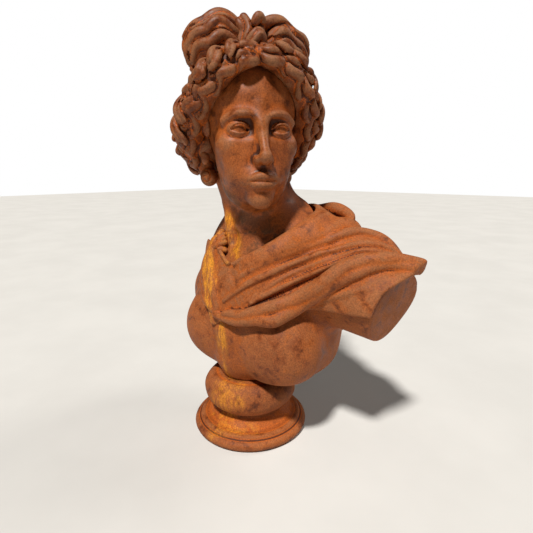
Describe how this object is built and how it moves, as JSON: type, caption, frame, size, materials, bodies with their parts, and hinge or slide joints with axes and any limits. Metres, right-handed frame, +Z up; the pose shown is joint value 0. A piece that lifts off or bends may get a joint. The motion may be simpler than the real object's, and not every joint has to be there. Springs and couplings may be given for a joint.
{
  "type": "cast iron bust",
  "caption": "Life-size rusted cast iron bust with topknot hair, head turned to its left, draped mantle with a shoulder clasp, round turned socle.",
  "frame": {"origin": "centre of the flat resting face under the round socle", "axes": "+Z up along the socle's axis, the chest faces -Y, +X towards the figure's left shoulder"},
  "size_m": [0.4618, 0.3207, 0.7356],
  "materials": {
    "patina_body": "matt rust patina, mid brown with yellow ochre runs down the breastbone",
    "patina_head": "smooth rust patina with a slight sheen, greyer on the raised parts",
    "patina_hair": "rough rust patina, bright orange in the crevices",
    "patina_cloth": "matt grainy rust patina, lighter along the ridges of the folds",
    "patina_foot": "mottled orange and brown rust with yellow ochre runs",
    "hardware": "rusted steel fasteners"
  },
  "bodies": {
    "root": {"torso_shell": "patina_body", "head_shell": "patina_head", "hair": "patina_hair", "bow_left": "patina_hair", "bow_right": "patina_hair", "bow_knot": "patina_hair", "mantle": "patina_cloth", "shoulder_clasp": "patina_cloth", "socle": "patina_foot", "knop": "patina_foot", "tie_rod": "hardware", "tie_rod_washer": "hardware", "tie_rod_nut": "hardware", "clasp_stud": "hardware", "knot_stud": "hardware", "bow_stud_left": "hardware", "bow_stud_right": "hardware", "hair_screw_left": "hardware", "hair_screw_right": "hardware", "mantle_screw_1": "hardware", "mantle_screw_2": "hardware", "mantle_screw_3": "hardware", "mantle_screw_4": "hardware", "neck_bolt_1": "hardware", "neck_bolt_2": "hardware", "neck_bolt_3": "hardware", "neck_nut_1": "hardware", "neck_nut_2": "hardware", "neck_nut_3": "hardware"}
  },
  "joints": []
}
